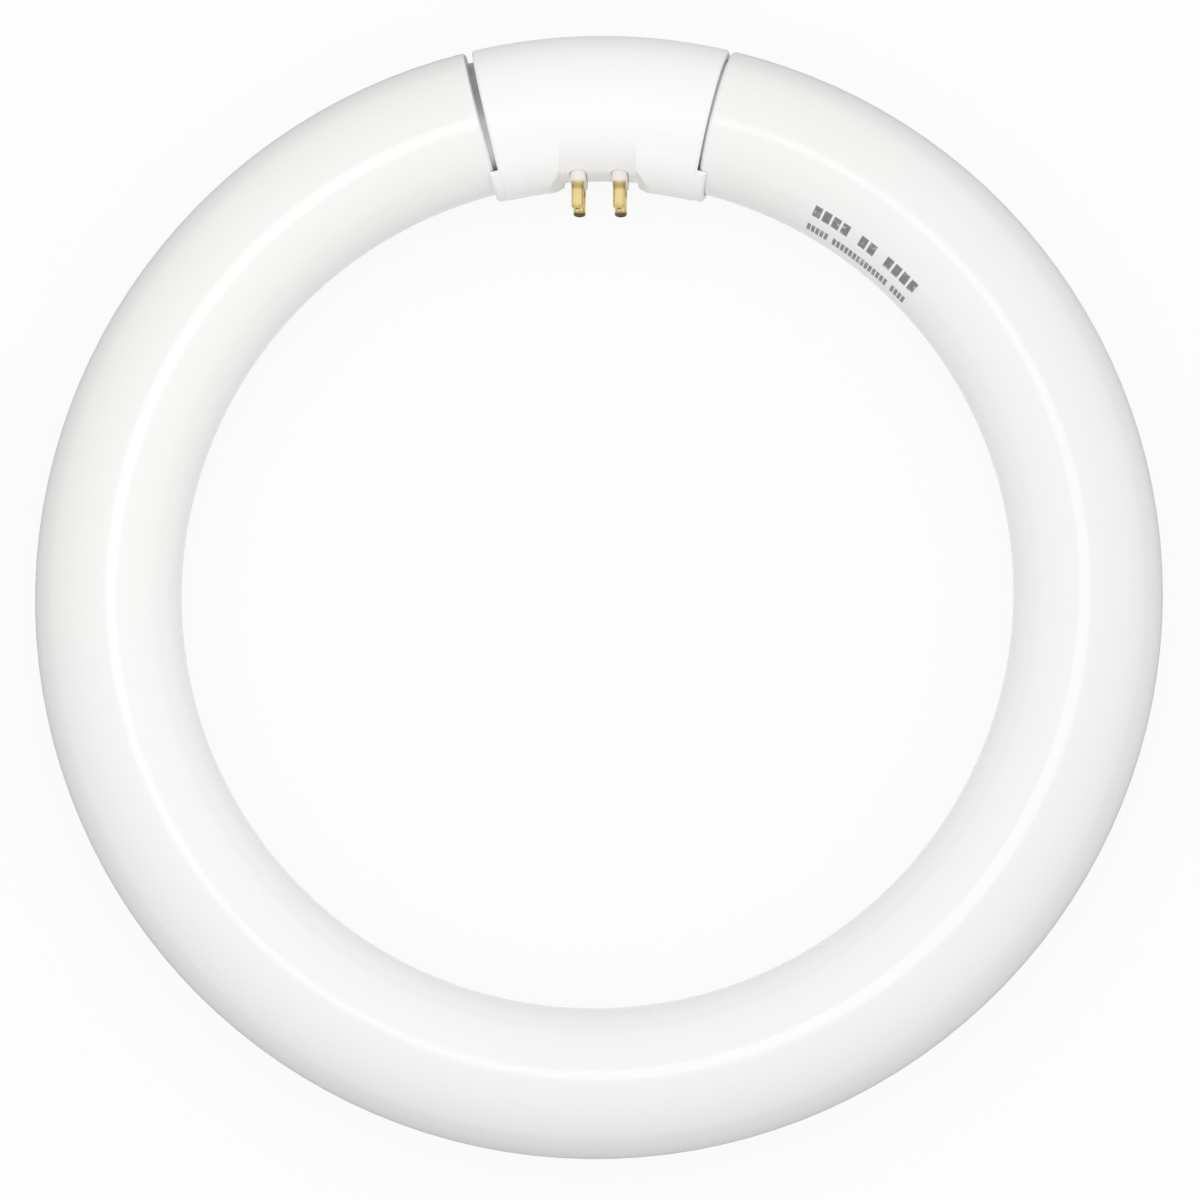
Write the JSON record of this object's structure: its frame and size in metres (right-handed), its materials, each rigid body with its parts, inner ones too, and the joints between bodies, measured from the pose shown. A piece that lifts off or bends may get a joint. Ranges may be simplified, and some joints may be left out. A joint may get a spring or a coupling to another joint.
{
  "type": "circular fluorescent tube",
  "caption": "White ring-shaped fluorescent tube with a moulded cap between its ends and brass contact pins that point to the middle of the ring.",
  "frame": {"origin": "centre of the ring, on the plane through the middle of the tube", "axes": "+Z along the axis of the ring, +Y from the centre to the middle of the cap, pins pointing to -Y"},
  "size_m": [0.212, 0.212, 0.0274],
  "materials": {
    "coated_glass": "smooth glossy glass, opaque white from the coating on its inside",
    "cap_plastic": "white moulded plastic, satin",
    "plate_plastic": "white insulating plastic, matt",
    "pin_brass": "drawn brass, lightly tarnished at the tips",
    "lead_metal": "bare drawn wire"
  },
  "bodies": {
    "root": {"glass_tube": "coated_glass", "cap_front_shell": "cap_plastic", "cap_rear_shell": "cap_plastic", "pin_plate": "plate_plastic", "contact_pin_1": "pin_brass", "contact_pin_2": "pin_brass", "contact_pin_3": "pin_brass", "contact_pin_4": "pin_brass", "lead_wire_1": "lead_metal", "lead_wire_2": "lead_metal", "lead_wire_3": "lead_metal", "lead_wire_4": "lead_metal"}
  },
  "joints": []
}
